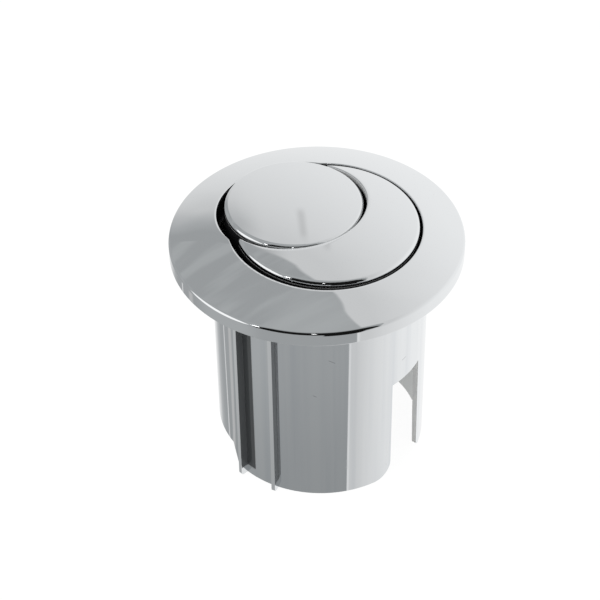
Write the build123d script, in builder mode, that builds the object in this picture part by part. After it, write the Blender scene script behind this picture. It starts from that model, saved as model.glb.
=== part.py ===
# Push button cistern actuator: a round small-flush button and a crescent full-flush button,
# set in a domed trim flange on a slotted sleeve that passes through the cistern lid.
# Millimetres. The origin is on the sleeve's axis in the plane where the flange sits on the lid.
# +Z is up and +X points to the middle of the crescent.
import os
from math import sqrt
from build123d import *

os.makedirs("parts", exist_ok=True)

# Trim flange
FLANGE_R = 36.5
FLANGE_X = -0.95            # the flange sits this far off the sleeve's axis
RIM_HEIGHT = 3.8
DOME_RISE = 8.0             # from the rim's top edge to the dome's crown
FLANGE_WALL = 1.6
RIM_ROUND = 1.0
RIM_FOOT_ROUND = 0.3
LUG_COUNT = 4

# The opening in the flange is two overlapping circles with softened cusps
OPEN_BIG_R = 23.9
OPEN_BIG_X = FLANGE_X + 2.5
OPEN_SMALL_R = 19.6
OPEN_SMALL_X = FLANGE_X - 6.25
OPEN_CUSP_ROUND = 0.4
OPEN_EDGE_ROUND = 0.25
OPEN_SKIRT_WALL = 1.2

# Sleeve
COLLAR_R = 33.6
COLLAR_BOTTOM = 1.0
COLLAR_TOP = 2.6
SLEEVE_R = 27.0
SLEEVE_R_LOW = 26.9
SLEEVE_BOTTOM = -59.5
BORE_R = 25.5
BORE_R_LOW = 25.7
LEDGE_R = 23.7
LEDGE_HEIGHT = 1.0
SLOT_WIDTH = 11.4
SLOT_TOP = -27.8
SLOT_ROUND = 5.0            # at the slot's front foot
SLOT_REAR_ROUND = 1.8
SLOT_FLARE = 0.8            # how much its rear side leans out towards the foot
SHORT_WALL_BOTTOM = -53.2
SHORT_WALL_X = -9.8         # where the shorter wall starts, at its upper corner
SHORT_WALL_FOOT_X = -7.6    # and at the sleeve's foot
FIN_ANGLES = (-100, -79, 79, 100)
FIN_R = 29.0
FIN_WALL = 1.0
FIN_TOP = -0.4
FIN_FOOT_ROUND = 0.8

# Buttons
BUTTON_WALL = 1.4
BUTTON_TOP_WALL = 1.8
BUTTON_SKIRT_BOTTOM = 1.7
SMALL_R = 17.15
SMALL_X = -7.75
SMALL_TOP = 10.7            # at the edge of its dome, before rounding
SMALL_EDGE_ROUND = 1.1
LARGE_R = 22.6
LARGE_X = 2.25
LARGE_INNER_R = 17.9
LARGE_PROUD = 0.6           # height of the crescent's dome above the flange's
LARGE_TIP_ROUND = 0.5
LARGE_EDGE_ROUND = 1.1
LARGE_INNER_ROUND = 0.4
LARGE_SEAT = 7.2            # where its springs press

# Guide carrier
CARRIER_R = 25.1
CARRIER_TOP = -6.5
CARRIER_PLATE = 2.0
TUBE_BOTTOM = -24.0
COLLET_TOP = -4.5           # short upstands inside the springs
RUNNING_GAP = 0.06
SOCKET_GAP = 0.02           # stems and pins in the caps' sockets
RIB_WALL = 1.5
RIB_DEPTH = 6.0

# Stems, guide pins, clips and push rods
STEM_R = 3.0
STEM_BOTTOM = -31.0
STEM_TOP = 7.2
LARGE_STEM_X = 17.4
PIN_R = 2.0
PIN_X = 13.4
PIN_Y = 12.5
PIN_BOTTOM = -27.0
PIN_TOP = 6.2
GROOVE_TOP = -24.2
GROOVE_HEIGHT = 1.0
CLIP_WALL = 0.9
ROD_R = 2.0
ROD_TOP = -18.0
ROD_BOTTOM = -50.0
ROD_FOOT_R = 3.6
ROD_FOOT_HEIGHT = 2.0
NUT_FLATS = 7.0
NUT_HEIGHT = 3.2

# Return springs
SMALL_COIL_R = 5.3
SMALL_WIRE_R = 0.4
LARGE_COIL_R = 3.75
LARGE_WIRE_R = 0.35
COIL_TURNS = 6

# Worked out from the above
DOME_R = (FLANGE_R**2 + DOME_RISE**2) / (2 * DOME_RISE)
DOME_Z = RIM_HEIGHT + DOME_RISE - DOME_R
CROWN = RIM_HEIGHT + DOME_RISE
CARRIER_BOTTOM = CARRIER_TOP - CARRIER_PLATE
FLANGE_PLANE = Plane(origin=(FLANGE_X, 0, 0), x_dir=(1, 0, 0), z_dir=(0, -1, 0))
FLANGE_AXIS = Axis((FLANGE_X, 0, 0), (0, 0, 1))
SMALL_SEAT = SMALL_TOP - BUTTON_TOP_WALL
SMALL_DOME_Z = SMALL_TOP - sqrt(DOME_R**2 - SMALL_R**2)
LARGE_DOME_Z = DOME_Z + LARGE_PROUD


def dome_height(radius, sphere_r=DOME_R):
    """Height of the dome, or of one parallel to it, at a radius from its axis."""
    return DOME_Z + sqrt(sphere_r**2 - radius**2)


def opening_circles(grow=0.0):
    """The two circles of the flange's opening, drawn in the current sketch."""
    with Locations((OPEN_BIG_X, 0)):
        Circle(OPEN_BIG_R + grow)
    with Locations((OPEN_SMALL_X, 0)):
        Circle(OPEN_SMALL_R + grow)


def crescent(inset=0.0):
    """The crescent between the large circle and the small button, in the current sketch."""
    with Locations((LARGE_X, 0)):
        Circle(LARGE_R - inset)
    with Locations((SMALL_X, 0)):
        Circle(LARGE_INNER_R + inset, mode=Mode.SUBTRACT)


def dome_section(radius, sphere_r, bottom):
    """Half section of a domed disc, in the current sketch."""
    with BuildLine() as outline:
        Polyline((0, dome_height(0, sphere_r)), (0, bottom), (radius, bottom))
        Line((radius, bottom), (radius, dome_height(radius, sphere_r)))
        ThreePointArc(
            (radius, dome_height(radius, sphere_r)),
            (radius / 2, dome_height(radius / 2, sphere_r)),
            (0, dome_height(0, sphere_r)),
        )
    make_face(outline.edges())


# Space under the dome of the flange, all round the skirt of its opening
with BuildPart() as flange_hollow:
    with BuildSketch(FLANGE_PLANE):
        dome_section(FLANGE_R - FLANGE_WALL, DOME_R - FLANGE_WALL, -1.0)
    revolve(axis=FLANGE_AXIS)
    with BuildSketch(Plane.XY.offset(COLLAR_TOP + 0.1)):
        opening_circles(OPEN_SKIRT_WALL)
    extrude(amount=CROWN, mode=Mode.SUBTRACT)

# Trim flange: domed ring with an upright rim, a skirted opening and lugs that hook under the collar
with BuildPart() as trim_flange:
    with BuildSketch(FLANGE_PLANE) as flange_section:
        dome_section(FLANGE_R, DOME_R, 0)
        rim_foot = flange_section.vertices().group_by(Axis.X)[-1].sort_by(Axis.Y)[0]
        fillet(rim_foot, RIM_FOOT_ROUND)
        rim_top = flange_section.vertices().group_by(Axis.X)[-1].sort_by(Axis.Y)[-1]
        fillet(rim_top, RIM_ROUND)
    revolve(axis=FLANGE_AXIS)
    with BuildSketch(Plane.XY.offset(-1)):
        opening_circles(OPEN_CUSP_ROUND)
        offset(amount=-OPEN_CUSP_ROUND, kind=Kind.ARC)
    extrude(amount=CROWN + 2, mode=Mode.SUBTRACT)
    opening_edge = trim_flange.edges().filter_by_position(Axis.Z, dome_height(OPEN_BIG_R + 4), CROWN)
    fillet(opening_edge, OPEN_EDGE_ROUND)
    add(flange_hollow.part, mode=Mode.SUBTRACT)
    with BuildSketch(Plane((FLANGE_X, 0, 0.1))):
        with PolarLocations(FLANGE_R - FLANGE_WALL - 0.7, LUG_COUNT, start_angle=45):
            Rectangle(2.0, 5.0)
    extrude(amount=COLLAR_BOTTOM - 0.2)

trim_flange.part.label = "trim_flange"
export_step(trim_flange.part, "parts/trim_flange.step")

# Sleeve: collar, tapered tube and ledge for the guide carrier in one moulding
with BuildPart() as sleeve:
    with BuildSketch(Plane.XZ):
        with BuildLine():
            Polyline(
                (BORE_R, COLLAR_TOP),
                (COLLAR_R, COLLAR_TOP),
                (COLLAR_R, COLLAR_BOTTOM),
                (SLEEVE_R, COLLAR_BOTTOM),
                (SLEEVE_R_LOW, SLEEVE_BOTTOM),
                (BORE_R_LOW, SLEEVE_BOTTOM),
                (BORE_R - 0.3, CARRIER_BOTTOM - 2 * LEDGE_HEIGHT - 0.5),
                (LEDGE_R, CARRIER_BOTTOM - LEDGE_HEIGHT),
                (LEDGE_R, CARRIER_BOTTOM),
                (BORE_R - 0.1, CARRIER_BOTTOM),
                close=True,
            )
        make_face()
    revolve(axis=Axis.Z)
    with BuildSketch(Plane.XY.offset(FIN_TOP)):
        for angle in FIN_ANGLES:
            with PolarLocations((SLEEVE_R + FIN_R) / 2 - 0.5, 1, start_angle=angle):
                Rectangle(FIN_R - SLEEVE_R + 1.0, FIN_WALL)
    extrude(amount=SLEEVE_BOTTOM - FIN_TOP)
    foot_edges = sleeve.edges().group_by(Axis.Z)[0]
    fin_feet = [e for e in foot_edges if Vector(e.center().X, e.center().Y).length > FIN_R - 0.1]
    fillet(fin_feet, FIN_FOOT_ROUND)
    with BuildSketch(Plane.YZ):
        with BuildLine():
            Polyline(
                (-SLOT_WIDTH / 2, SLEEVE_BOTTOM + SLOT_ROUND),
                (-SLOT_WIDTH / 2, SLOT_TOP),
                (SLOT_WIDTH / 2, SLOT_TOP),
                (SLOT_WIDTH / 2 + SLOT_FLARE, SLEEVE_BOTTOM + SLOT_REAR_ROUND),
            )
            RadiusArc(
                (SLOT_WIDTH / 2 + SLOT_FLARE, SLEEVE_BOTTOM + SLOT_REAR_ROUND),
                (SLOT_WIDTH / 2 + SLOT_FLARE + SLOT_REAR_ROUND, SLEEVE_BOTTOM),
                -SLOT_REAR_ROUND,
            )
            Line(
                (SLOT_WIDTH / 2 + SLOT_FLARE + SLOT_REAR_ROUND, SLEEVE_BOTTOM),
                (-SLOT_WIDTH / 2 - SLOT_ROUND, SLEEVE_BOTTOM),
            )
            RadiusArc(
                (-SLOT_WIDTH / 2 - SLOT_ROUND, SLEEVE_BOTTOM),
                (-SLOT_WIDTH / 2, SLEEVE_BOTTOM + SLOT_ROUND),
                -SLOT_ROUND,
            )
        make_face()
    extrude(amount=FIN_R, mode=Mode.SUBTRACT)
    with BuildSketch(Plane.XZ):
        with BuildLine():
            Polyline(
                (-FIN_R, SHORT_WALL_BOTTOM),
                (SHORT_WALL_X, SHORT_WALL_BOTTOM),
                (SHORT_WALL_FOOT_X, SLEEVE_BOTTOM),
                (-FIN_R, SLEEVE_BOTTOM),
                close=True,
            )
        make_face()
    extrude(amount=FIN_R, both=True, mode=Mode.SUBTRACT)

sleeve.part.label = "sleeve"
export_step(sleeve.part, "parts/sleeve.step")

# Seat gasket: flat ring between the collar and the lid, inside the flange's rim
with BuildPart() as seat_gasket:
    with BuildSketch(Plane.XY.offset(0.05)):
        Circle(COLLAR_R - 1.4)
        Circle(SLEEVE_R + 0.6, mode=Mode.SUBTRACT)
    extrude(amount=COLLAR_BOTTOM - 0.05)

seat_gasket.part.label = "seat_gasket"
export_step(seat_gasket.part, "parts/seat_gasket.step")

# Guide carrier: plate on the sleeve's ledge, with a guide tube for each stem and pin and ribs between
PIN_SPOTS = [(PIN_X, -PIN_Y), (PIN_X, PIN_Y)]
with BuildPart() as guide_carrier:
    with BuildSketch(Plane.XY.offset(CARRIER_BOTTOM)):
        Circle(CARRIER_R)
    extrude(amount=CARRIER_PLATE)
    with BuildSketch(Plane.XY.offset(CARRIER_BOTTOM)):
        for spot in PIN_SPOTS:
            with BuildLine():
                Line((SMALL_X, 0), spot)
            trace(line_width=RIB_WALL)
    extrude(amount=-RIB_DEPTH)
    with BuildSketch(Plane.XY.offset(TUBE_BOTTOM)):
        with Locations((SMALL_X, 0)):
            Circle(STEM_R + 2.0)
        with Locations(*PIN_SPOTS):
            Circle(PIN_R + 1.7)
    extrude(amount=CARRIER_BOTTOM - TUBE_BOTTOM)
    with BuildSketch(Plane.XY.offset(CARRIER_TOP)):
        with Locations((SMALL_X, 0)):
            Circle(SMALL_COIL_R - SMALL_WIRE_R - 0.3)
        with Locations(*PIN_SPOTS):
            Circle(LARGE_COIL_R - LARGE_WIRE_R - 0.3)
    extrude(amount=COLLET_TOP - CARRIER_TOP)
    with BuildSketch(Plane.XY.offset(TUBE_BOTTOM)):
        with Locations((SMALL_X, 0)):
            Circle(STEM_R + RUNNING_GAP)
        with Locations(*PIN_SPOTS):
            Circle(PIN_R + RUNNING_GAP)
        with Locations((LARGE_STEM_X, 0)):
            Circle(STEM_R + 0.6)
    extrude(amount=COLLET_TOP - TUBE_BOTTOM, mode=Mode.SUBTRACT)

guide_carrier.part.label = "guide_carrier"
export_step(guide_carrier.part, "parts/guide_carrier.step")

# Small button: round cap, domed as the flange is, with a skirt and a socket for its stem
with BuildPart() as small_button:
    with BuildSketch(Plane.XY.offset(BUTTON_SKIRT_BOTTOM)):
        with Locations((SMALL_X, 0)):
            Circle(SMALL_R)
    extrude(amount=CROWN)
    with Locations((SMALL_X, 0, SMALL_DOME_Z)):
        Sphere(DOME_R, mode=Mode.INTERSECT)
    fillet(small_button.faces().sort_by(Axis.Z)[-1].edges(), SMALL_EDGE_ROUND)
    with BuildSketch(Plane.XY.offset(BUTTON_SKIRT_BOTTOM)):
        with Locations((SMALL_X, 0)):
            Circle(SMALL_R - BUTTON_WALL)
            Circle(SMALL_COIL_R - SMALL_WIRE_R - 0.3, mode=Mode.SUBTRACT)
    extrude(amount=SMALL_SEAT - BUTTON_SKIRT_BOTTOM, mode=Mode.SUBTRACT)
    with BuildSketch(Plane.XY.offset(BUTTON_SKIRT_BOTTOM)):
        with Locations((SMALL_X, 0)):
            Circle(STEM_R + SOCKET_GAP)
    extrude(amount=STEM_TOP - BUTTON_SKIRT_BOTTOM, mode=Mode.SUBTRACT)

small_button.part.label = "small_button"
export_step(small_button.part, "parts/small_button.step")

# Space inside the crescent button, parallel to its outside, with its sockets and spring seats left standing
with BuildPart() as large_hollow:
    with BuildSketch(Plane.XY.offset(BUTTON_SKIRT_BOTTOM)):
        crescent(BUTTON_WALL)
    extrude(amount=CROWN)
    with Locations((0, 0, LARGE_DOME_Z)):
        Sphere(DOME_R - BUTTON_TOP_WALL, mode=Mode.INTERSECT)
    with BuildSketch(Plane.XY.offset(BUTTON_SKIRT_BOTTOM)):
        with Locations((LARGE_STEM_X, 0)):
            Circle(STEM_R + 1.4)
        with Locations(*PIN_SPOTS):
            Circle(LARGE_COIL_R - LARGE_WIRE_R - 0.3)
    extrude(amount=CROWN, mode=Mode.SUBTRACT)
    with BuildSketch(Plane.XY.offset(LARGE_SEAT)):
        with Locations(*PIN_SPOTS):
            Circle(LARGE_COIL_R + LARGE_WIRE_R + 0.2)
    extrude(amount=CROWN, mode=Mode.SUBTRACT)

# Wide domed block whose round hole gives the crescent its rounded inner edge
with BuildPart() as large_ring:
    with BuildSketch():
        Circle(FLANGE_R)
        with Locations((SMALL_X, 0)):
            Circle(LARGE_INNER_R, mode=Mode.SUBTRACT)
    extrude(amount=2 * CROWN)
    with Locations((0, 0, LARGE_DOME_Z)):
        Sphere(DOME_R, mode=Mode.INTERSECT)
    hole_wall = large_ring.faces().filter_by(GeomType.CYLINDER).sort_by(SortBy.AREA)[-1]
    fillet(hole_wall.edges().filter_by_position(Axis.Z, LARGE_SEAT, CROWN + LARGE_PROUD), LARGE_INNER_ROUND)

# Large button: crescent cap on nearly the same dome as the flange, with blunted tips
with BuildPart() as large_button:
    with BuildSketch(Plane.XY.offset(BUTTON_SKIRT_BOTTOM)):
        with Locations((LARGE_X, 0)):
            Circle(LARGE_R)
    extrude(amount=CROWN)
    with Locations((0, 0, LARGE_DOME_Z)):
        Sphere(DOME_R, mode=Mode.INTERSECT)
    fillet(large_button.faces().sort_by(Axis.Z)[-1].edges(), LARGE_EDGE_ROUND)
    add(large_ring.part, mode=Mode.INTERSECT)
    with BuildSketch():
        crescent(LARGE_TIP_ROUND)
        offset(amount=LARGE_TIP_ROUND + 0.05, kind=Kind.ARC)
    extrude(amount=2 * CROWN, mode=Mode.INTERSECT)
    add(large_hollow.part, mode=Mode.SUBTRACT)
    with BuildSketch(Plane.XY.offset(BUTTON_SKIRT_BOTTOM)):
        with Locations((LARGE_STEM_X, 0)):
            Circle(STEM_R + SOCKET_GAP)
    extrude(amount=STEM_TOP - BUTTON_SKIRT_BOTTOM, mode=Mode.SUBTRACT)
    with BuildSketch(Plane.XY.offset(BUTTON_SKIRT_BOTTOM)):
        with Locations(*PIN_SPOTS):
            Circle(PIN_R + SOCKET_GAP)
    extrude(amount=PIN_TOP - BUTTON_SKIRT_BOTTOM, mode=Mode.SUBTRACT)

large_button.part.label = "large_button"
export_step(large_button.part, "parts/large_button.step")


def groove(radius, depth):
    """Ring cut for a clip, in the current sketch, seen from above."""
    Circle(radius + 1)
    Circle(radius - depth, mode=Mode.SUBTRACT)


# Stems: hollow rods under each button that take an adjustable push rod from below
for name, x in (("small", SMALL_X), ("large", LARGE_STEM_X)):
    with BuildPart() as stem:
        with BuildSketch(Plane((x, 0, STEM_BOTTOM))):
            Circle(STEM_R)
        extrude(amount=STEM_TOP - STEM_BOTTOM)
        with BuildSketch(Plane((x, 0, STEM_BOTTOM))):
            Circle(ROD_R)
        extrude(amount=ROD_TOP - STEM_BOTTOM + 1, mode=Mode.SUBTRACT)
        if name == "small":
            with BuildSketch(Plane((x, 0, GROOVE_TOP))):
                groove(STEM_R, 0.6)
            extrude(amount=-GROOVE_HEIGHT, mode=Mode.SUBTRACT)
    stem.part.label = f"{name}_stem"
    export_step(stem.part, f"parts/{name}_stem.step")

    # Push rods: studs with a round foot, screwed into the stems
    with BuildPart() as push_rod:
        with BuildSketch(Plane((x, 0, ROD_BOTTOM))):
            Circle(ROD_FOOT_R)
        extrude(amount=ROD_FOOT_HEIGHT)
        chamfer(push_rod.edges().group_by(Axis.Z)[0], 0.5)
        with BuildSketch(Plane((x, 0, ROD_BOTTOM))):
            Circle(ROD_R - 0.05)
        extrude(amount=ROD_TOP - ROD_BOTTOM)
        chamfer(push_rod.edges().group_by(Axis.Z)[-1], 0.4)
    push_rod.part.label = f"{name}_push_rod"
    export_step(push_rod.part, f"parts/{name}_push_rod.step")

    # Lock nuts: hexagon nuts run up against the stems
    with BuildPart() as lock_nut:
        with BuildSketch(Plane((x, 0, STEM_BOTTOM))):
            RegularPolygon(NUT_FLATS / 2, 6, major_radius=False)
            Circle(ROD_R, mode=Mode.SUBTRACT)
        extrude(amount=-NUT_HEIGHT)
    lock_nut.part.label = f"{name}_lock_nut"
    export_step(lock_nut.part, f"parts/{name}_lock_nut.step")

# Guide pins: plain pins that keep the crescent level, grooved for a clip below their tubes
for name, spot in zip(("front", "rear"), PIN_SPOTS):
    with BuildPart() as guide_pin:
        with BuildSketch(Plane((*spot, PIN_BOTTOM))):
            Circle(PIN_R)
        extrude(amount=PIN_TOP - PIN_BOTTOM)
        chamfer(guide_pin.edges().group_by(Axis.Z)[0], 0.4)
        with BuildSketch(Plane((*spot, GROOVE_TOP))):
            groove(PIN_R, 0.5)
        extrude(amount=-GROOVE_HEIGHT, mode=Mode.SUBTRACT)
    guide_pin.part.label = f"large_guide_pin_{name}"
    export_step(guide_pin.part, f"parts/large_guide_pin_{name}.step")

# Clips: open rings snapped into the grooves, which stop the stems against the guide tubes
CLIPS = (
    ("small_clip", (SMALL_X, 0), STEM_R - 0.6, STEM_R + 1.6),
    ("large_clip_front", PIN_SPOTS[0], PIN_R - 0.5, PIN_R + 1.4),
    ("large_clip_rear", PIN_SPOTS[1], PIN_R - 0.5, PIN_R + 1.4),
)
for name, spot, inner_r, outer_r in CLIPS:
    with BuildPart() as clip:
        with BuildSketch(Plane((*spot, GROOVE_TOP - 0.05))):
            Circle(outer_r)
            Circle(inner_r + 0.02, mode=Mode.SUBTRACT)
            with Locations((outer_r / 2, 0)):
                Rectangle(outer_r, 1.6 * inner_r, mode=Mode.SUBTRACT)
        extrude(amount=-CLIP_WALL)
    clip.part.label = name
    export_step(clip.part, f"parts/{name}.step")

# Return springs: open coils between the guide carrier and the underside of each cap
SPRINGS = (
    ("small_spring", (SMALL_X, 0), SMALL_COIL_R, SMALL_WIRE_R, SMALL_SEAT),
    ("large_spring_front", PIN_SPOTS[0], LARGE_COIL_R, LARGE_WIRE_R, LARGE_SEAT),
    ("large_spring_rear", PIN_SPOTS[1], LARGE_COIL_R, LARGE_WIRE_R, LARGE_SEAT),
)
for name, spot, coil_r, wire_r, seat in SPRINGS:
    bottom = CARRIER_TOP + wire_r
    length = seat - wire_r - bottom
    with BuildPart() as spring:
        with BuildLine() as coil:
            Helix(length / COIL_TURNS, length, coil_r, center=(*spot, bottom))
        with BuildSketch(Plane(coil.line @ 0, z_dir=coil.line % 0)):
            RegularPolygon(wire_r, 6)
        sweep(path=coil.line, is_frenet=True)
    spring.part.label = name
    export_step(spring.part, f"parts/{name}.step")
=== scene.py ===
import bpy
import math
from mathutils import Matrix, Vector


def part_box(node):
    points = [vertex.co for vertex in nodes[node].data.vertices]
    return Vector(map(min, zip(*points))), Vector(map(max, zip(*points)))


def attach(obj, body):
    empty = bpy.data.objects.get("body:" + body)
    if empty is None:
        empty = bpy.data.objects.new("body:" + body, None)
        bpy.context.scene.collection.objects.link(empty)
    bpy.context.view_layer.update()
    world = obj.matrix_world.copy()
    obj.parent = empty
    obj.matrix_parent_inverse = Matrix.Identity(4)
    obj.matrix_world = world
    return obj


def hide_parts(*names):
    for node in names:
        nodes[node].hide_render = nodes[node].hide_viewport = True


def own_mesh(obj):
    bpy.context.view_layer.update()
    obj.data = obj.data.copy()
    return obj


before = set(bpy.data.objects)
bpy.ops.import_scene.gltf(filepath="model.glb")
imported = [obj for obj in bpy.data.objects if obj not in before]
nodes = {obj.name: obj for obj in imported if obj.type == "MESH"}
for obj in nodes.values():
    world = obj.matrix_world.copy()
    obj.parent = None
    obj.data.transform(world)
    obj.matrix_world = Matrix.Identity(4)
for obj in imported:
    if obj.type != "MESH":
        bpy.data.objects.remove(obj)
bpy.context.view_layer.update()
scene = bpy.context.scene
scene.view_settings.view_transform = "Standard"


# Sleeve: the slotted tube that passes through the cistern lid, with four slim fins outside.
# It is moulded in ABS and plated bright outside, satin in the bore; the slot's sides stay bare.
# The throat, the fins' flanks and the corner by the left fin get painted shade, the fin tips a
# painted highlight.
def reckon(tree, operation, first, second=0.0):
    """One sum on a surface value, from links or plain numbers."""
    node = tree.nodes.new("ShaderNodeMath")
    node.operation = operation
    for socket, value in zip(node.inputs, (first, second)):
        if isinstance(value, bpy.types.NodeSocket):
            tree.links.new(value, socket)
        else:
            socket.default_value = value
    return node.outputs["Value"]


def soft_edge(tree, value, start, end):
    """A mask that rises smoothly from 0 at start to 1 at end."""
    node = tree.nodes.new("ShaderNodeMapRange")
    node.interpolation_type = "SMOOTHSTEP"
    node.inputs["From Min"].default_value = min(start, end)
    node.inputs["From Max"].default_value = max(start, end)
    node.inputs["To Min"].default_value = 0.0 if start < end else 1.0
    node.inputs["To Max"].default_value = 1.0 if start < end else 0.0
    tree.links.new(value, node.inputs["Value"])
    return node.outputs["Result"]


def distance_from(tree, place, point, flat=True):
    """How far the surface is from a point, or from the upright axis through it."""
    span = tree.nodes.new("ShaderNodeVectorMath")
    span.operation = "SUBTRACT"
    tree.links.new(place, span.inputs[0])
    span.inputs[1].default_value = point
    level = tree.nodes.new("ShaderNodeVectorMath")
    level.operation = "MULTIPLY"
    tree.links.new(span.outputs["Vector"], level.inputs[0])
    level.inputs[1].default_value = (1.0, 1.0, 0.0 if flat else 1.0)
    length = tree.nodes.new("ShaderNodeVectorMath")
    length.operation = "LENGTH"
    tree.links.new(level.outputs["Vector"], length.inputs[0])
    return length.outputs["Value"]


def noise(tree, place, scale, detail=2.0, stretch=(1.0, 1.0, 1.0)):
    """Even random mottling, scaled per metre and stretched along an axis if wanted."""
    mapping = tree.nodes.new("ShaderNodeMapping")
    mapping.inputs["Scale"].default_value = stretch
    tree.links.new(place, mapping.inputs["Vector"])
    node = tree.nodes.new("ShaderNodeTexNoise")
    node.inputs["Scale"].default_value = scale
    node.inputs["Detail"].default_value = detail
    tree.links.new(mapping.outputs["Vector"], node.inputs["Vector"])
    return node.outputs["Fac"]


# Handling marks of bright plating, shared by every plated piece: long waves of the moulding,
# faint finger haze and a few hair scratches.
plating_marks = bpy.data.node_groups.new("plating_marks", "ShaderNodeTree")
plating_marks.interface.new_socket("Place", in_out="INPUT", socket_type="NodeSocketVector")
plating_marks.interface.new_socket("Roughness", in_out="OUTPUT", socket_type="NodeSocketFloat")
plating_marks.interface.new_socket("Height", in_out="OUTPUT", socket_type="NodeSocketFloat")
marks_in = plating_marks.nodes.new("NodeGroupInput")
marks_out = plating_marks.nodes.new("NodeGroupOutput")
mark_place = marks_in.outputs["Place"]
waves = noise(plating_marks, mark_place, 70.0, 1.0)
haze = soft_edge(plating_marks, noise(plating_marks, mark_place, 110.0, 3.0), 0.48, 0.78)
hair_grain = noise(plating_marks, mark_place, 900.0, 1.0, (1.0, 1.0, 0.04))
hairs_up = soft_edge(plating_marks, hair_grain, 0.72, 0.76)
hairs_on = soft_edge(plating_marks, noise(plating_marks, mark_place, 160.0, 0.0), 0.60, 0.70)
hairs = reckon(plating_marks, "MULTIPLY", hairs_up, hairs_on)
roughness = reckon(plating_marks, "ADD", reckon(plating_marks, "MULTIPLY", haze, 0.035), 0.028)
roughness = reckon(plating_marks, "ADD", roughness, reckon(plating_marks, "MULTIPLY", hairs, 0.10))
height = reckon(plating_marks, "SUBTRACT", waves, reckon(plating_marks, "MULTIPLY", hairs, 0.02))
plating_marks.links.new(roughness, marks_out.inputs["Roughness"])
plating_marks.links.new(height, marks_out.inputs["Height"])

BRIGHT_CHROME = (0.80, 0.813, 0.822, 1.0)
# Near black, used as painted shade in the gaps and in the sleeve's throat.
PAINTED_SHADE_BLACK = (0.012, 0.012, 0.013, 1.0)


def plated(name):
    """Bright chrome plate on ABS: the material, its tree, its shader and its surface place."""
    material = bpy.data.materials.new(name)
    material.use_nodes = True
    tree = material.node_tree
    skin = tree.nodes["Principled BSDF"]
    place = tree.nodes.new("ShaderNodeTexCoord").outputs["Object"]
    marks = tree.nodes.new("ShaderNodeGroup")
    marks.node_tree = plating_marks
    tree.links.new(place, marks.inputs["Place"])
    tree.links.new(marks.outputs["Roughness"], skin.inputs["Roughness"])
    bump = tree.nodes.new("ShaderNodeBump")
    bump.inputs["Strength"].default_value = 1.0
    bump.inputs["Distance"].default_value = 0.000012
    tree.links.new(marks.outputs["Height"], bump.inputs["Height"])
    tree.links.new(bump.outputs["Normal"], skin.inputs["Normal"])
    skin.inputs["Base Color"].default_value = BRIGHT_CHROME
    skin.inputs["Metallic"].default_value = 1.0
    return material, tree, skin, place


def tinted(tree, base, mask, colour):
    """Lays one colour over another where the mask is 1."""
    mix = tree.nodes.new("ShaderNodeMix")
    mix.data_type = "RGBA"
    if isinstance(base, bpy.types.NodeSocket):
        tree.links.new(base, mix.inputs["A"])
    else:
        mix.inputs["A"].default_value = base
    tree.links.new(mask, mix.inputs["Factor"])
    mix.inputs["B"].default_value = colour
    return mix.outputs["Result"]


def blended(tree, base, mask, value):
    """The same for a number, such as how rough or how metallic the surface is."""
    mix = tree.nodes.new("ShaderNodeMix")
    mix.data_type = "FLOAT"
    if isinstance(base, bpy.types.NodeSocket):
        tree.links.new(base, mix.inputs["A"])
    else:
        mix.inputs["A"].default_value = base
    tree.links.new(mask, mix.inputs["Factor"])
    mix.inputs["B"].default_value = value
    return mix.outputs["Result"]


def shifted(tree, socket, mask, value):
    """Blends whatever already feeds a shader socket towards a number."""
    tree.links.new(blended(tree, socket.links[0].from_socket, mask, value), socket)


def dress(name, material):
    """Gives a CAD node its finish."""
    nodes[name].data.materials.clear()
    nodes[name].data.materials.append(material)


def leaning(tree, place, direction):
    """The surface's place measured along one direction."""
    lean = tree.nodes.new("ShaderNodeVectorMath")
    lean.operation = "DOT_PRODUCT"
    tree.links.new(place, lean.inputs[0])
    lean.inputs[1].default_value = direction
    return lean.outputs["Value"]


def both(tree, first, *others):
    """Where several masks overlap."""
    mask = first
    for other in others:
        mask = reckon(tree, "MULTIPLY", mask, other)
    return mask


SLEEVE_R = 0.027
WALL_MIDDLE_R = 0.0262
sleeve_finish, tree, skin, place = plated("sleeve_chrome")
parts = tree.nodes.new("ShaderNodeSeparateXYZ")
tree.links.new(place, parts.inputs["Vector"])
place_x, place_z = parts.outputs["X"], parts.outputs["Z"]
from_plane = reckon(tree, "ABSOLUTE", parts.outputs["Y"])
out = distance_from(tree, place, (0.0, 0.0, 0.0))
bore = soft_edge(tree, out, WALL_MIDDLE_R + 0.0001, WALL_MIDDLE_R - 0.0001)

# The slot's sides, which stay bare, and the throat over the carrier and the collar's top, which get
# painted shade.
SLOT_X = 0.0225
SLOT_HALF = 0.0070
SLOT_TOP_Z = -0.0270
THROAT_Z = -0.0075
COLLAR_Z = 0.0010
slot_sides = both(tree, soft_edge(tree, out, SLEEVE_R - 0.00012, SLEEVE_R - 0.00016),
                  soft_edge(tree, place_x, SLOT_X, SLOT_X + 0.0005),
                  soft_edge(tree, from_plane, SLOT_HALF + 0.0002, SLOT_HALF),
                  soft_edge(tree, place_z, SLOT_TOP_Z, SLOT_TOP_Z - 0.0005))
# Painted shade: the throat over the carrier and everything above the collar are near black.
painted_throat_shade = both(tree, bore, soft_edge(tree, place_z, THROAT_Z, THROAT_Z + 0.0005))
painted_throat_shade = reckon(tree, "MAXIMUM", painted_throat_shade, soft_edge(tree, place_z, COLLAR_Z, COLLAR_Z + 0.0002))
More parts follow.
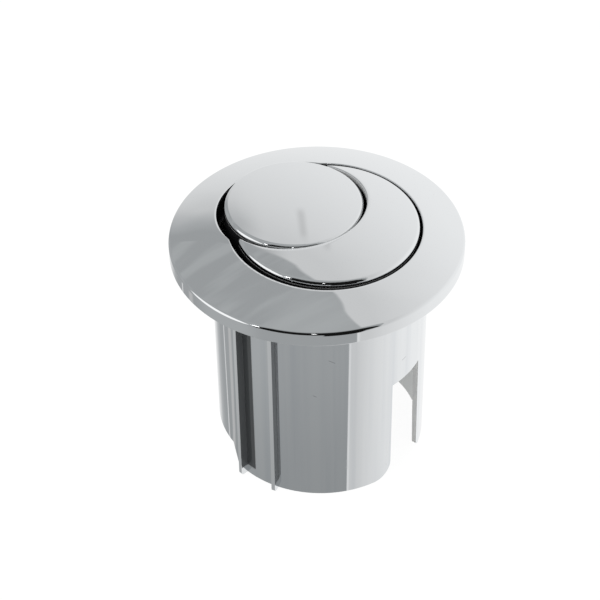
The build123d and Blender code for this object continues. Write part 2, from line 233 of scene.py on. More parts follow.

# Painted shade on the flanks of the fins and in the corner beside the left one, dark grey and
# not metallic. The fins behind mirror those in front, so both halves share one set of masks.
FIN_R = 0.029
FIN_HALF = 0.0005
FIN_FOOT_Z = -0.0572
FLANK = (FIN_HALF + 0.00012, FIN_HALF + 0.00004)
CORNER_WIDTH = 0.0036
halves = tree.nodes.new("ShaderNodeCombineXYZ")
tree.links.new(place_x, halves.inputs["X"])
tree.links.new(from_plane, halves.inputs["Y"])
folded = halves.outputs["Vector"]
fin_left = leaning(tree, folded, (-0.98481, -0.17365, 0.0))
fin_right = leaning(tree, folded, (0.98163, -0.19081, 0.0))
flank_shade_zone = both(tree, soft_edge(tree, out, SLEEVE_R - 0.0003, SLEEVE_R - 0.0002),
                 soft_edge(tree, place_z, FIN_FOOT_Z, FIN_FOOT_Z + 0.0007),
                 soft_edge(tree, out, FIN_R - 0.00004, FIN_R - 0.0001))
corner = both(tree, soft_edge(tree, fin_left, -CORNER_WIDTH, 0.0003 - CORNER_WIDTH),
              soft_edge(tree, fin_left, -0.0003, -0.0005), flank_shade_zone)
painted_flank_shade_left = both(tree, soft_edge(tree, reckon(tree, "ABSOLUTE", fin_left), *FLANK), flank_shade_zone)
painted_flank_shade_right = both(tree, soft_edge(tree, reckon(tree, "ABSOLUTE", fin_right), *FLANK), flank_shade_zone)
# Painted highlight: the outer faces of the fins are lightened towards white.
painted_tip_highlight = soft_edge(tree, out, FIN_R - 0.00007, FIN_R - 0.00003)
drawn = noise(tree, place, 420.0, 2.0, (1.0, 1.0, 0.02))
sleeve_colour = BRIGHT_CHROME
# The fins' flanks and the corner by the left one get painted shade in dark grey.
for mask, colour in ((soft_edge(tree, drawn, 0.35, 0.85), (0.73, 0.75, 0.77, 1.0)),
                     (corner, (0.048, 0.052, 0.054, 1.0)),
                     (painted_flank_shade_left, (0.105, 0.112, 0.116, 1.0)),
                     (painted_flank_shade_right, (0.140, 0.150, 0.158, 1.0)),
                     (painted_tip_highlight, (0.97, 0.975, 0.98, 1.0))):
    sleeve_colour = tinted(tree, sleeve_colour, mask, colour)

# Three hair scratches on the front of the tube, each from one end to the other.
scratches = (((0.01733, -0.02070, -0.01287), (0.01879, -0.01939, -0.01410)),
             ((0.01424, -0.02294, -0.02459), (0.01518, -0.02233, -0.02515)),
             ((0.02686, -0.00276, -0.02131), (0.02699, -0.00080, -0.02114)))
for start, end in scratches:
    start, end = Vector(start), Vector(end)
    along = (end - start).normalized()
    middle = (start + end) / 2.0
    half = (end - start).length / 2.0
    across = along.cross(middle * Vector((1.0, 1.0, 0.0))).normalized()
    beside = reckon(tree, "SUBTRACT", leaning(tree, place, across), across.dot(middle))
    within = reckon(tree, "SUBTRACT", leaning(tree, place, along), along.dot(middle))
    from_middle = distance_from(tree, place, middle, flat=False)
    scratch = both(tree, soft_edge(tree, reckon(tree, "ABSOLUTE", beside), 0.00016, 0.00004),
                   soft_edge(tree, reckon(tree, "ABSOLUTE", within), half, half * 0.6),
                   soft_edge(tree, from_middle, half * 2.0, half * 1.6))
    faint = reckon(tree, "MULTIPLY", scratch, 0.55)
    sleeve_colour = tinted(tree, sleeve_colour, faint, (0.30, 0.31, 0.32, 1.0))

# The bore is satin, the slot's sides bare, and the throat painted shade in near black.
for mask, colour in ((bore, (0.97, 0.97, 0.95, 1.0)),
                     (slot_sides, (0.88, 0.88, 0.86, 1.0)),
                     (painted_throat_shade, PAINTED_SHADE_BLACK)):
    sleeve_colour = tinted(tree, sleeve_colour, mask, colour)
tree.links.new(sleeve_colour, skin.inputs["Base Color"])
shifted(tree, skin.inputs["Roughness"], reckon(tree, "MAXIMUM", bore, slot_sides), 0.36)
# The painted shade and the slot's bare sides are not metallic.
bare_or_painted_shade = corner
for mask in (slot_sides, painted_flank_shade_left, painted_flank_shade_right, painted_throat_shade):
    bare_or_painted_shade = reckon(tree, "MAXIMUM", bare_or_painted_shade, mask)
tree.links.new(blended(tree, 1.0, bare_or_painted_shade, 0.0), skin.inputs["Metallic"])
dress("sleeve", sleeve_finish)


# Seat gasket: a flat ring of closed-cell foam under the collar. It is die cut
# from dark sheet and seals the flange on the lid.
gasket_foam = bpy.data.materials.new("gasket_foam")
gasket_foam.use_nodes = True
tree = gasket_foam.node_tree
skin = tree.nodes["Principled BSDF"]
place = tree.nodes.new("ShaderNodeTexCoord").outputs["Object"]
cells = tree.nodes.new("ShaderNodeTexVoronoi")
cells.inputs["Scale"].default_value = 2600.0
tree.links.new(place, cells.inputs["Vector"])
mottle = noise(tree, place, 500.0, 3.0)
foam_colour = tinted(tree, (0.030, 0.031, 0.033, 1.0), mottle, (0.075, 0.076, 0.080, 1.0))
tree.links.new(foam_colour, skin.inputs["Base Color"])
cell_bump = tree.nodes.new("ShaderNodeBump")
cell_bump.inputs["Strength"].default_value = 0.6
cell_bump.inputs["Distance"].default_value = 0.00012
tree.links.new(cells.outputs["Distance"], cell_bump.inputs["Height"])
tree.links.new(cell_bump.outputs["Normal"], skin.inputs["Normal"])
skin.inputs["Roughness"].default_value = 0.9
dress("seat_gasket", gasket_foam)


# Trim flange: the bright domed ring on top of the lid, clipped over the sleeve's collar.
# Plated ABS, buffed round the opening; deep in the gap round the caps it gets painted
# shade, near black and dull.
FLANGE_R = 0.0365
FLANGE_AXIS = Vector((-0.00095, 0.0, 0.0))
FLANGE_DOME = Vector((-0.00095, 0.0, -0.07546641))
DOME_R = 0.08726641
ON_FACE = 0.000004          # how near a surface its own vertices lie
ROLL_REACH = 0.002          # how far from a buffed edge the dome gives way


def gap_shade(tree, skin, mask):
    """Painted shade inside the gaps round the caps: near black, dull and hardly shiny."""
    tree.links.new(tinted(tree, BRIGHT_CHROME, mask, PAINTED_SHADE_BLACK), skin.inputs["Base Color"])
    shifted(tree, skin.inputs["Roughness"], mask, 0.55)
    tree.links.new(blended(tree, 1.0, mask, 0.0), skin.inputs["Metallic"])
    skin.inputs["Specular IOR Level"].default_value = 0.05


def polished_copy(node):
    """A merged, smooth copy of a CAD mesh, to be buffed for the picture."""
    bpy.ops.object.select_all(action="DESELECT")
    copied = nodes[node].copy()
    copied.data = nodes[node].data.copy()
    copied.name = node + "_polished"
    scene.collection.objects.link(copied)
    copied.select_set(True)
    bpy.context.view_layer.objects.active = copied
    bpy.ops.object.mode_set(mode="EDIT")
    bpy.ops.mesh.select_all(action="SELECT")
    bpy.ops.mesh.remove_doubles(threshold=0.000001)
    bpy.ops.object.mode_set(mode="OBJECT")
    bpy.ops.object.shade_smooth_by_angle(angle=math.radians(30.0))
    return copied


def rolled(point, dome, middle, clear, room, roll):
    """A dome point drawn away from a round edge, so that its rounding widens as if buffed.
    The roll fades away from the edge, and where the room to the next edge is short."""
    fade = min(max((ROLL_REACH - clear) / (0.8 * ROLL_REACH), 0.0), 1.0)
    fade *= min(max(room / ROLL_REACH - 1.0, 0.0), 1.0)
    moved = point.xy + (point - middle).xy.normalized() * roll * fade
    rise = math.sqrt(DOME_R ** 2 - (moved - dome.xy).length ** 2)
    return Vector((moved.x, moved.y, dome.z + rise))


flange_finish, tree, skin, place = plated("flange_chrome")
# Painted shade on the opening's wall, deeper than about half a millimetre under the dome.
deep = distance_from(tree, place, FLANGE_DOME, flat=False)
deep = soft_edge(tree, deep, DOME_R - 0.0004, DOME_R - 0.0006)
inner = distance_from(tree, place, FLANGE_AXIS)
inner = soft_edge(tree, inner, FLANGE_R - 0.0007, FLANGE_R - 0.0010)
gap_shade(tree, skin, reckon(tree, "MULTIPLY", deep, inner))
dress("trim_flange", flange_finish)
trim = polished_copy("trim_flange")
OPENING = ((Vector((0.00155, 0.0, 0.0)), 0.0239), (Vector((-0.0072, 0.0, 0.0)), 0.0196))
OPENING_ROLL = 0.0003
for vertex in trim.data.vertices:
    if abs((vertex.co - FLANGE_DOME).length - DOME_R) < ON_FACE:
        sides = [((vertex.co - middle).xy.length - radius, middle) for middle, radius in OPENING]
        (clear, middle), (room, _) = sorted(sides, key=lambda side: side[0])
        vertex.co = rolled(vertex.co, FLANGE_DOME, middle, clear, 2.0 * room, OPENING_ROLL)

# The dome, the rim and its roundings get the normals of their true surfaces, so that the
# reflections run unbroken over the facets.
RIM_ROUND = 0.001
FOOT_ROUND = 0.0003
RIM_EDGE_Z = FLANGE_DOME.z + math.sqrt((DOME_R - RIM_ROUND) ** 2 - (FLANGE_R - RIM_ROUND) ** 2)
polish = []
for vertex in trim.data.vertices:
    spot = vertex.co - FLANGE_AXIS
    outward = Vector((spot.x, spot.y, 0.0)).normalized()
    past_rim = spot.xy.length - FLANGE_R
    from_dome = vertex.co - FLANGE_DOME
    from_edge = spot - outward * (FLANGE_R - RIM_ROUND) - Vector((0.0, 0.0, RIM_EDGE_Z))
    from_foot = spot - outward * (FLANGE_R - FOOT_ROUND) - Vector((0.0, 0.0, FOOT_ROUND))
    if abs(from_dome.length - DOME_R) < ON_FACE:
        polish.append(from_dome.normalized())
    elif abs(from_edge.length - RIM_ROUND) < ON_FACE and past_rim > -RIM_ROUND - 0.0001:
        polish.append(from_edge.normalized())
    elif abs(from_foot.length - FOOT_ROUND) < ON_FACE and past_rim > -FOOT_ROUND - 0.0001:
        polish.append(from_foot.normalized())
    elif past_rim > -0.00001:
        polish.append(outward)
    else:
        polish.append(Vector((0.0, 0.0, 0.0)))
trim.data.normals_split_custom_set_from_vertices(polish)
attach(trim, "base")
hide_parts("trim_flange")


# Guide carrier: the moulded plate on the sleeve's ledge with a tube for each stem and pin.
# White acetal, satin from the mould, with faint flow marks.
def satin_plastic(name, colour, shade):
    """Moulded satin plastic with soft flow marks and a fine mould grain."""
    material = bpy.data.materials.new(name)
    material.use_nodes = True
    tree = material.node_tree
    skin = tree.nodes["Principled BSDF"]
    place = tree.nodes.new("ShaderNodeTexCoord").outputs["Object"]
    flow = noise(tree, place, 120.0, 3.0, (1.0, 1.0, 0.25))
    mottled = tinted(tree, colour, soft_edge(tree, flow, 0.35, 0.75), shade)
    tree.links.new(mottled, skin.inputs["Base Color"])
    grain = noise(tree, place, 5000.0, 2.0)
    roughness = reckon(tree, "ADD", reckon(tree, "MULTIPLY", flow, 0.12), 0.30)
    tree.links.new(roughness, skin.inputs["Roughness"])
    bump = tree.nodes.new("ShaderNodeBump")
    bump.inputs["Strength"].default_value = 0.15
    bump.inputs["Distance"].default_value = 0.00003
    tree.links.new(grain, bump.inputs["Height"])
    tree.links.new(bump.outputs["Normal"], skin.inputs["Normal"])
    return material


white_plastic = satin_plastic("white_plastic", (0.84, 0.84, 0.82, 1.0), (0.78, 0.78, 0.75, 1.0))
dress("guide_carrier", white_plastic)


# Return springs: coils of drawn steel wire with closed ends, one round the small cap's
# stem and one round each guide pin. They stand on the carrier and lift the caps.
steel = bpy.data.materials.new("drawn_steel")
steel.use_nodes = True
tree = steel.node_tree
skin = tree.nodes["Principled BSDF"]
place = tree.nodes.new("ShaderNodeTexCoord").outputs["Object"]
drawn = noise(tree, place, 2500.0, 2.0, (1.0, 1.0, 0.15))
tarnish = soft_edge(tree, noise(tree, place, 300.0, 3.0), 0.4, 0.8)
steel_colour = tinted(tree, (0.60, 0.59, 0.57, 1.0), tarnish, (0.50, 0.49, 0.47, 1.0))
tree.links.new(steel_colour, skin.inputs["Base Color"])
steel_roughness = reckon(tree, "ADD", reckon(tree, "MULTIPLY", drawn, 0.2), 0.18)
tree.links.new(steel_roughness, skin.inputs["Roughness"])
skin.inputs["Metallic"].default_value = 1.0


def apply_modifiers(piece):
    """Makes every modifier of a piece part of its mesh."""
    bpy.context.view_layer.objects.active = piece
    for modifier in list(piece.modifiers):
        bpy.ops.object.modifier_apply(modifier=modifier.name)


def wound(name, centre, coil_r, wire_r, sides, low, high, turns, steps=40):
    """A round or ridged section wound up a helix, as a wire coil or a screw thread."""
    bpy.ops.object.select_all(action="DESELECT")
    bpy.ops.mesh.primitive_circle_add(vertices=sides, radius=wire_r, fill_type="NOTHING")
    piece = bpy.context.object
    piece.name = name
    bpy.ops.object.mode_set(mode="EDIT")
    bpy.ops.mesh.select_all(action="SELECT")
    bpy.ops.transform.rotate(value=math.radians(90.0), orient_axis="X",
                             center_override=(0.0, 0.0, 0.0))
    bpy.ops.transform.translate(value=(coil_r, 0.0, low))
    bpy.ops.object.mode_set(mode="OBJECT")
    screw = piece.modifiers.new("wind", "SCREW")
    screw.axis = "Z"
    screw.angle = 2.0 * math.pi * turns
    screw.screw_offset = high - low
    screw.steps = screw.render_steps = int(steps * turns)
    apply_modifiers(piece)
    bpy.ops.object.mode_set(mode="EDIT")
    bpy.ops.mesh.select_mode(type="EDGE")
    bpy.ops.mesh.select_all(action="DESELECT")
    bpy.ops.mesh.select_non_manifold()
    bpy.ops.mesh.fill_holes(sides=0)
    bpy.ops.mesh.select_all(action="SELECT")
    bpy.ops.transform.translate(value=centre)
    bpy.ops.mesh.normals_make_consistent(inside=False)
    bpy.ops.object.mode_set(mode="OBJECT")
    return piece


def close_ends(spring, sides, wire_r, low, high, turns, steps=40):
    """Lays the first and last turn of a coil flat, as on a compression spring."""
    rings = int(steps * turns)
    dead = 2.04 * wire_r
    climb = high - low
    for index, vertex in enumerate(spring.data.vertices):
        turn = turns * (index // sides) / rings
        free = min(max((turn - 1.0) / (turns - 2.0), 0.0), 1.0)
        ends = dead * (min(turn, 1.0) + max(turn - turns + 1.0, 0.0))
        vertex.co.z += ends + (climb - 2.0 * dead) * free - climb * turn / turns


SMALL_X = -0.00775
SEAT = -0.0065
WIRE_SIDES = 12
COIL_TURNS = 6.0
# Node, axis, coil radius, wire radius, top end, joint, share of the height kept when pressed.
springs = (
    ("small_spring", (SMALL_X, 0.0, 0.0), 0.0053, 0.0004, 0.0089, "small_button_slide", 0.61),
    ("large_spring_front", (0.0134, -0.0125, 0.0), 0.00375, 0.00035, 0.0072,
     "large_button_slide", 0.562),
    ("large_spring_rear", (0.0134, 0.0125, 0.0), 0.00375, 0.00035, 0.0072,
     "large_button_slide", 0.562),
)
for node, centre, coil_r, wire_r, top, joint, keep in springs:
    low, high = SEAT + wire_r, top - wire_r
    coil = wound(node + "_coil", centre, coil_r, wire_r, WIRE_SIDES, low, high, COIL_TURNS)
    close_ends(coil, WIRE_SIDES, wire_r, low, high, COIL_TURNS)
    bpy.ops.object.shade_smooth_by_angle(angle=math.radians(40.0))
    coil.data.materials.append(steel)
    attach(coil, "base")
    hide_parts(node)
    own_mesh(coil)


# Small cap: the round button for the short flush, domed like the flange and plated bright.
# Its stem is pressed into a socket under it and held below the carrier by a spring clip.
SMALL_DOME = (SMALL_X, 0.0, -0.07486470)
small_finish, tree, skin, place = plated("small_cap_chrome")
# Painted shade on the cap's side below its rounded edge, deep in the gap.
under = distance_from(tree, place, SMALL_DOME, flat=False)
gap_shade(tree, skin, soft_edge(tree, under, DOME_R - 0.0011, DOME_R - 0.0016))
dress("small_button", small_finish)
dress("small_stem", white_plastic)
dress("small_clip", steel)


# Crescent cap: the button for the full flush, on nearly the same dome as the flange.
# Plated bright on top and buffed along its inner edge, with a satin inner wall; one stem
# and two steel pins guide it.
CRESCENT_DOME = Vector((0.0, 0.0, -0.07486641))
CRESCENT_MIDDLE = Vector((0.00225, 0.0, 0.0))
CRESCENT_R = 0.0226
HOLE_MIDDLE = Vector((SMALL_X, 0.0, 0.0))
HOLE_R = 0.0179
HOLE_ROLL = 0.0006
crescent_finish, tree, skin, place = plated("crescent_chrome")
under = distance_from(tree, place, CRESCENT_DOME, flat=False)
wall = distance_from(tree, place, HOLE_MIDDLE)
wall = soft_edge(tree, wall, HOLE_R + 0.00012, HOLE_R + 0.00004)
# Painted shade on the cap's walls deep in the gap; above it the inner wall is satin.
gap_shade(tree, skin, soft_edge(tree, under, DOME_R - 0.0012, DOME_R - 0.0017))
satin = both(tree, wall, soft_edge(tree, under, DOME_R - 0.0017, DOME_R - 0.0012))
shifted(tree, skin.inputs["Roughness"], satin, 0.45)
shifted(tree, skin.inputs["Metallic"], satin, 0.35)
plate_colour = skin.inputs["Base Color"].links[0].from_socket
plate_colour = tinted(tree, plate_colour, satin, (0.70, 0.71, 0.71, 1.0))
tree.links.new(plate_colour, skin.inputs["Base Color"])
dress("large_button", crescent_finish)
crescent = polished_copy("large_button")
polish = []
for vertex in crescent.data.vertices:
    if abs((vertex.co - CRESCENT_DOME).length - DOME_R) < ON_FACE:
        clear = (vertex.co - HOLE_MIDDLE).xy.length - HOLE_R
        room = CRESCENT_R - (vertex.co - CRESCENT_MIDDLE).xy.length
        vertex.co = rolled(vertex.co, CRESCENT_DOME, HOLE_MIDDLE, clear, room, HOLE_ROLL)
        polish.append((vertex.co - CRESCENT_DOME).normalized())
    else:
        polish.append(Vector((0.0, 0.0, 0.0)))
crescent.data.normals_split_custom_set_from_vertices(polish)
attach(crescent, "full_flush")
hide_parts("large_button")
dress("large_stem", white_plastic)
for name in ("large_guide_pin_front", "large_guide_pin_rear",
             "large_clip_front", "large_clip_rear"):
    dress(name, steel)


# Push rods: threaded studs with a round foot, screwed up into the stems to set their length.
# Blue acetal, turned in place by hand and locked with a nut.
def pick_faces(piece, wanted):
    """Goes into edit mode with only the wanted faces selected."""
    bpy.ops.object.mode_set(mode="EDIT")
    bpy.ops.mesh.select_mode(type="FACE")
    bpy.ops.mesh.select_all(action="DESELECT")
    bpy.ops.object.mode_set(mode="OBJECT")
    for face in piece.data.polygons:
        face.select = wanted(face)
    bpy.ops.object.mode_set(mode="EDIT")


ROD_FOOT_R = 0.0036
ROD_COLLAR_R = 0.00205
ROD_CORE_R = 0.00170
ROD_FOOT_Z = -0.049
COLLAR_HEIGHT = 0.0008
CORE_HEIGHT = 0.0289
LARGE_STEM_X = 0.0174
rods = (("small", SMALL_X, "small_flush"), ("large", LARGE_STEM_X, "full_flush"))
rod_plastic = satin_plastic("rod_plastic", (0.040, 0.130, 0.330, 1.0), (0.033, 0.108, 0.285, 1.0))
for size, stem_x, body in rods:
    node = size + "_push_rod"
    thread = wound(node + "_thread", (stem_x, 0.0, 0.0), coil_r=ROD_CORE_R, wire_r=0.0003,
                   sides=3, low=-0.0470, high=-0.0190, turns=28.0, steps=24)
    bpy.ops.object.select_all(action="DESELECT")
    bpy.ops.mesh.primitive_cylinder_add(vertices=48, radius=ROD_FOOT_R, depth=0.002,
                                        location=(stem_x, 0.0, ROD_FOOT_Z))
    rod = bpy.context.object
    rod.name = node + "_turned"
    bpy.ops.object.transform_apply(location=True, rotation=True, scale=True)
    pick_faces(rod, lambda face: face.normal.z > 0.9)
    bpy.ops.mesh.inset(thickness=ROD_FOOT_R - ROD_COLLAR_R)
    bpy.ops.mesh.extrude_region_move(TRANSFORM_OT_translate={"value": (0.0, 0.0, COLLAR_HEIGHT)})
    bpy.ops.mesh.inset(thickness=ROD_COLLAR_R - ROD_CORE_R)
    bpy.ops.mesh.extrude_region_move(TRANSFORM_OT_translate={"value": (0.0, 0.0, CORE_HEIGHT)})
    bpy.ops.mesh.inset(thickness=0.0004)
    bpy.ops.transform.translate(value=(0.0, 0.0, 0.0003))
    bpy.ops.object.mode_set(mode="OBJECT")
    chamfer = rod.modifiers.new("edges", "BEVEL")
    chamfer.width = 0.00025
    chamfer.segments = 2
    chamfer.limit_method = "ANGLE"
    chamfer.angle_limit = math.radians(60.0)
    apply_modifiers(rod)
    bpy.ops.object.select_all(action="DESELECT")
    thread.select_set(True)
    rod.select_set(True)
    bpy.context.view_layer.objects.active = rod
    bpy.ops.object.join()
    bpy.ops.object.shade_smooth_by_angle(angle=math.radians(30.0))
    rod.data.materials.append(rod_plastic)
    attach(rod, body)
    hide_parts(node)


# Lock nuts: small hexagon nuts run up against the stems. Moulded in the rods' plastic,
# with turned-off corners and a countersunk mouth.
NUT_R = 0.00404
NUT_MOUTH_R = 0.0025
for size, stem_x, body in rods:
    node = size + "_lock_nut"
    low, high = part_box(node)
    tall = high[2] - low[2]
    middle = (stem_x, 0.0, (low[2] + high[2]) / 2.0)
    bpy.ops.object.select_all(action="DESELECT")
    bpy.ops.mesh.primitive_cylinder_add(vertices=64, radius=NUT_R, depth=tall, location=middle)
    corners = bpy.context.object
    bpy.ops.object.transform_apply(location=True, rotation=True, scale=True)
    pick_faces(corners, lambda face: abs(face.normal.z) > 0.9)
    bpy.ops.mesh.inset(thickness=NUT_R - NUT_MOUTH_R)
    bpy.ops.mesh.inset(thickness=0.0004, depth=-0.0004)
    bpy.ops.object.mode_set(mode="OBJECT")
    turned = corners.modifiers.new("corners", "BEVEL")
    turned.width = 0.0005
    turned.segments = 1
    turned.limit_method = "ANGLE"
    turned.angle_limit = math.radians(60.0)
    apply_modifiers(corners)
    bpy.ops.object.select_all(action="DESELECT")
    bpy.ops.mesh.primitive_cylinder_add(vertices=6, radius=NUT_R, depth=2.0 * tall, location=middle,
                                        rotation=(0.0, 0.0, math.radians(30.0)))
    nut = bpy.context.object
    nut.name = node + "_cut"
    bpy.ops.object.transform_apply(location=True, rotation=True, scale=True)
    hexagon = nut.modifiers.new("hexagon", "BOOLEAN")
    hexagon.operation = "INTERSECT"
    hexagon.solver = "EXACT"
    hexagon.object = corners
    apply_modifiers(nut)
    bpy.data.objects.remove(corners)
    bpy.ops.object.shade_smooth_by_angle(angle=math.radians(30.0))
    nut.data.materials.clear()
    nut.data.materials.append(rod_plastic)
    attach(nut, body)
    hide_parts(node)


# The pale table under the shot. It reads as white to the camera and keeps the object's
# soft shadow; bright metal sees the tent instead of it, and from below it is clear.
bpy.ops.object.select_all(action="DESELECT")
SLEEVE_FOOT_Z = -0.0595
bpy.ops.mesh.primitive_plane_add(size=6.0, location=(0.0, 0.0, SLEEVE_FOOT_Z))
table_top = bpy.context.object
table_top.name = "pale_table"
bpy.ops.object.transform_apply(location=True, rotation=True, scale=True)
table_finish = bpy.data.materials.new("pale_table_top")
table_finish.use_nodes = True
tree = table_finish.node_tree
tree.nodes.clear()
table_out = tree.nodes.new("ShaderNodeOutputMaterial")
table_matt = tree.nodes.new("ShaderNodeBsdfDiffuse")
table_glow = tree.nodes.new("ShaderNodeEmission")
table_mix = tree.nodes.new("ShaderNodeMixShader")
table_path = tree.nodes.new("ShaderNodeLightPath")
table_seen = reckon(tree, "MULTIPLY", table_path.outputs["Is Camera Ray"], 0.9)
tree.links.new(table_seen, table_mix.inputs["Fac"])
tree.links.new(table_matt.outputs["BSDF"], table_mix.inputs[1])
tree.links.new(table_glow.outputs["Emission"], table_mix.inputs[2])
table_side = tree.nodes.new("ShaderNodeNewGeometry")
table_clear = tree.nodes.new("ShaderNodeBsdfTransparent")
table_under = tree.nodes.new("ShaderNodeMixShader")
tree.links.new(table_side.outputs["Backfacing"], table_under.inputs["Fac"])
tree.links.new(table_mix.outputs["Shader"], table_under.inputs[1])
tree.links.new(table_clear.outputs["BSDF"], table_under.inputs[2])
tree.links.new(table_under.outputs["Shader"], table_out.inputs["Surface"])
table_matt.inputs["Color"].default_value = (0.9, 0.9, 0.9, 1.0)
table_glow.inputs["Strength"].default_value = 1.06
table_top.data.materials.append(table_finish)
table_top.visible_glossy = False


# The light tent of the studio: one half of its cloth is grey and the other half pale, with a
# dark opening where the camera stands. A soft box hangs to the left of the opening and two
# bare lamps by it; folds, hem, seam and a streak of the cloth show in the plating too.
tent_world = bpy.data.worlds.new("light_tent")
scene.world = tent_world
tent_world.use_nodes = True
tent = tent_world.node_tree
tent.nodes.clear()
tent_way = tent.nodes.new("ShaderNodeTexCoord").outputs["Generated"]


def cloth(value, tones):
    """Tones of the tent's cloth from one side to the other, the grey a little cool."""
    ramp = tent.nodes.new("ShaderNodeValToRGB")
    tent.links.new(value, ramp.inputs["Fac"])
    while len(ramp.color_ramp.elements) < len(tones):
        ramp.color_ramp.elements.new(0.5)
    for stop, (where, grey) in zip(ramp.color_ramp.elements, tones):
        cool = 0.012 if grey < 0.5 else 0.004
        stop.position = where
        stop.color = (grey - cool, grey, grey + cool * 0.6, 1.0)
    return ramp.outputs["Color"]


def tone(value):
    """A plain grey as a colour."""
    return (value, value, value, 1.0)


def patched(seen, mask, strength, colour):
    """The tent with one patch of it toned over, as strongly as wanted."""
    return tinted(tent, seen, reckon(tent, "MULTIPLY", mask, strength), colour)


level_way = tent.nodes.new("ShaderNodeVectorMath")
level_way.operation = "MULTIPLY"
level_way.inputs[1].default_value = (1.0, 1.0, 0.0)
tent.links.new(tent_way, level_way.inputs[0])
compass = tent.nodes.new("ShaderNodeVectorMath")
compass.operation = "NORMALIZE"
tent.links.new(level_way.outputs["Vector"], compass.inputs[0])
compass = compass.outputs["Vector"]
up = leaning(tent, tent_way, (0.0, 0.0, 1.0))
left = leaning(tent, tent_way, (-0.799, -0.602, 0.0))
away = leaning(tent, tent_way, (-0.602, 0.799, 0.0))

# The two halves of the cloth: their edge hangs in bends, crisp in front and faded on the left.
PALE_WAY = (0.1989, 0.9586, -0.2038)
side = reckon(tent, "MULTIPLY", leaning(tent, tent_way, PALE_WAY), 0.5)
side = reckon(tent, "ADD", side, 0.5)
drape = tent.nodes.new("ShaderNodeFloatCurve")
tent.links.new(away, drape.inputs["Value"])
edge_line = drape.mapping.curves[0]
edge_line.points[0].location = (0.0, 0.5)
edge_line.points[1].location = (1.0, 0.5)
bends = ((0.040, -0.12), (0.075, -0.18), (0.107, -0.16), (0.143, -0.03),
         (0.180, 0.13), (0.215, 0.22), (0.240, 0.26), (0.300, 0.05),
         (0.366, -0.01), (0.409, 0.06), (0.445, 0.14), (0.600, 0.0))
for where, shift in bends:
    edge_line.points.new(where, 0.5 + shift)
drape.mapping.extend = "HORIZONTAL"
drape.mapping.update()
hanging = reckon(tent, "SUBTRACT", drape.outputs["Value"], 0.5)
side = reckon(tent, "SUBTRACT", side, reckon(tent, "MULTIPLY", hanging, 0.05))
crisp = cloth(side, ((0.0, 0.40), (0.4985, 0.40), (0.5015, 0.69), (0.55, 0.69), (0.635, 0.78),
                     (0.725, 0.85), (0.815, 0.92), (0.90, 0.975), (1.0, 1.0)))
folds = noise(tent, tent_way, 5.0, 2.0, (1.0, 1.0, 0.45))
folds = reckon(tent, "MULTIPLY", reckon(tent, "SUBTRACT", folds, 0.5), 0.06)
lower = reckon(tent, "MULTIPLY", soft_edge(tent, up, 0.1, -0.3), -0.05)
faded = cloth(reckon(tent, "ADD", side, reckon(tent, "ADD", lower, folds)),
              ((0.0, 0.40), (0.525, 0.40), (0.56, 0.47), (0.61, 0.66), (0.645, 0.73),
               (0.685, 0.79), (0.735, 0.85), (0.815, 0.92), (0.90, 0.975), (1.0, 1.0)))
halves = tent.nodes.new("ShaderNodeMix")
halves.data_type = "RGBA"
tent.links.new(soft_edge(tent, left, 0.12, 0.32), halves.inputs["Factor"])
tent.links.new(crisp, halves.inputs["A"])
tent.links.new(faded, halves.inputs["B"])
seen = halves.outputs["Result"]

# Lighter and darker places of the cloth: the low left, the crown, pleats, the hem along the
# edge of the halves, the shadow at the foot, an open seam and a streak.
low_left = soft_edge(tent, leaning(tent, tent_way, (-0.4814, -0.5666, -0.6691)), 0.90, 0.99)
seen = patched(seen, low_left, 0.45, (0.515, 0.53, 0.535, 1.0))
grey_half = soft_edge(tent, side, 0.5, 0.498)
crown = both(tent, soft_edge(tent, up, 0.94, 1.0), grey_half)
seen = patched(seen, crown, 0.5, (0.50, 0.515, 0.52, 1.0))
fold_way = tent.nodes.new("ShaderNodeCombineXYZ")
tent.links.new(leaning(tent, tent_way, (0.899, -0.439, 0.0)), fold_way.inputs["X"])
tent.links.new(leaning(tent, tent_way, (0.439, 0.899, 0.0)), fold_way.inputs["Y"])
tent.links.new(up, fold_way.inputs["Z"])
pleats = noise(tent, fold_way.outputs["Vector"], 12.0, 2.0, (1.0, 0.15, 0.3))
pleats = both(tent, soft_edge(tent, pleats, 0.42, 0.66), soft_edge(tent, up, -0.60, -0.10),
              grey_half)
seen = patched(seen, pleats, 0.8, (0.465, 0.48, 0.485, 1.0))
hem = both(tent, soft_edge(tent, side, 0.4995, 0.5010), soft_edge(tent, side, 0.518, 0.508),
           soft_edge(tent, up, -0.2, -0.4))
seen = patched(seen, hem, 0.8, tone(0.84))
shadow = both(tent, soft_edge(tent, up, -0.675, -0.735), grey_half)
seen = patched(seen, shadow, 0.6, (0.292, 0.304, 0.309, 1.0))
seam = reckon(tent, "ABSOLUTE", leaning(tent, compass, (-0.1737, 0.9848, 0.0)))
seam = both(tent, soft_edge(tent, seam, 0.075, 0.02), soft_edge(tent, left, 0.3, 0.4),
            soft_edge(tent, up, -0.60, -0.66))
seen = tinted(tent, seen, seam, tone(0.54))
streak = reckon(tent, "ABSOLUTE", leaning(tent, tent_way, (0.771, 0.632, -0.074)))
streak = both(tent, soft_edge(tent, streak, 0.030, 0.0), soft_edge(tent, up, 0.675, 0.735),
              soft_edge(tent, up, 0.87, 0.82))
seen = patched(seen, streak, 0.34, tone(0.38))

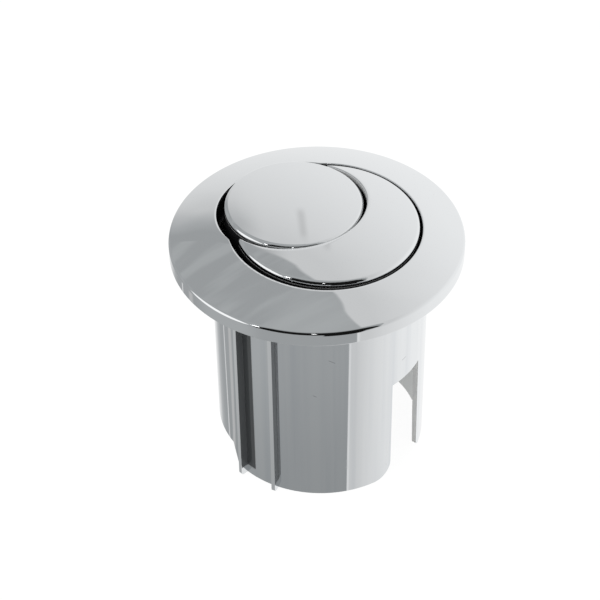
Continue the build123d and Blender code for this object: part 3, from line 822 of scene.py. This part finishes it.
# The opening, a dark stand low beside it, the soft box and the two bare lamps.
opening = leaning(tent, compass, (0.588, -0.8094, 0.0))
opening = both(tent, soft_edge(tent, opening, 0.707, 0.755), soft_edge(tent, up, -0.20, -0.11),
               soft_edge(tent, up, 0.95, 0.70))
stand = leaning(tent, compass, (0.8194, -0.5739, 0.0))
stand = both(tent, soft_edge(tent, stand, 0.966, 0.974), soft_edge(tent, up, -0.668, -0.655),
             soft_edge(tent, up, 0.08, 0.02))
seen = tinted(tent, seen, reckon(tent, "MAXIMUM", opening, stand), tone(0.008))
soft_box = leaning(tent, tent_way, (-0.5859, -0.8062, 0.087))
seen = tinted(tent, seen, soft_edge(tent, soft_box, 0.895, 0.930), tone(1.15))
for lamp_way in ((0.482, -0.719, 0.5), (-0.1341, -0.8967, 0.4226)):
    bare_lamp = soft_edge(tent, leaning(tent, tent_way, lamp_way), 0.9990, 0.9994)
    seen = tinted(tent, seen, bare_lamp, tone(8.0))

# Bright metal mirrors the cloth, matt pieces get an even glow, and the camera sees white.
tent_path = tent.nodes.new("ShaderNodeLightPath")
tent_seen = tent.nodes.new("ShaderNodeBackground")
tent_glow = tent.nodes.new("ShaderNodeBackground")
tent_white = tent.nodes.new("ShaderNodeBackground")
tent.links.new(seen, tent_seen.inputs["Color"])
tent_glow.inputs["Color"].default_value = tone(0.80)
tent_white.inputs["Color"].default_value = tone(1.0)
tent_metal = tent.nodes.new("ShaderNodeMixShader")
mirrored = reckon(tent, "MAXIMUM", tent_path.outputs["Is Glossy Ray"],
                  tent_path.outputs["Is Transmission Ray"])
tent.links.new(mirrored, tent_metal.inputs["Fac"])
tent.links.new(tent_glow.outputs["Background"], tent_metal.inputs[1])
tent.links.new(tent_seen.outputs["Background"], tent_metal.inputs[2])
tent_all = tent.nodes.new("ShaderNodeMixShader")
tent.links.new(tent_path.outputs["Is Camera Ray"], tent_all.inputs["Fac"])
tent.links.new(tent_metal.outputs["Shader"], tent_all.inputs[1])
tent.links.new(tent_white.outputs["Background"], tent_all.inputs[2])
tent_out = tent.nodes.new("ShaderNodeOutputWorld")
tent.links.new(tent_all.outputs["Shader"], tent_out.inputs["Surface"])


# The main lamp: a wide soft panel high on the left. It lights plastic and foam
# and stays out of the metal's reflections.
panel = bpy.data.lights.new("soft_panel", "AREA")
panel.shape = "SQUARE"
panel.size = 0.7
panel.energy = 2.0
soft_panel = bpy.data.objects.new("soft_panel", panel)
scene.collection.objects.link(soft_panel)
soft_panel.location = (-0.15, -0.65, 0.85)
panel_aim = Vector((0.0, 0.0, -0.02)) - soft_panel.location
soft_panel.rotation_euler = panel_aim.to_track_quat("-Z", "Y").to_euler()
soft_panel.visible_glossy = False


# The camera of the product shot: a long lens, standing high in front of the button
# and looking down on its caps.
lens = bpy.data.cameras.new("shot_camera")
lens.sensor_width = 36.0
lens.lens = 114.0
lens.clip_start = 0.01
camera = bpy.data.objects.new("shot_camera", lens)
scene.collection.objects.link(camera)
camera.matrix_world = Matrix((
    (0.8045, -0.3845, 0.4527, 0.21345),
    (0.5939, 0.5352, -0.6007, -0.29174),
    (-0.0113, 0.7521, 0.6590, 0.29971),
    (0.0, 0.0, 0.0, 1.0)))
scene.camera = camera
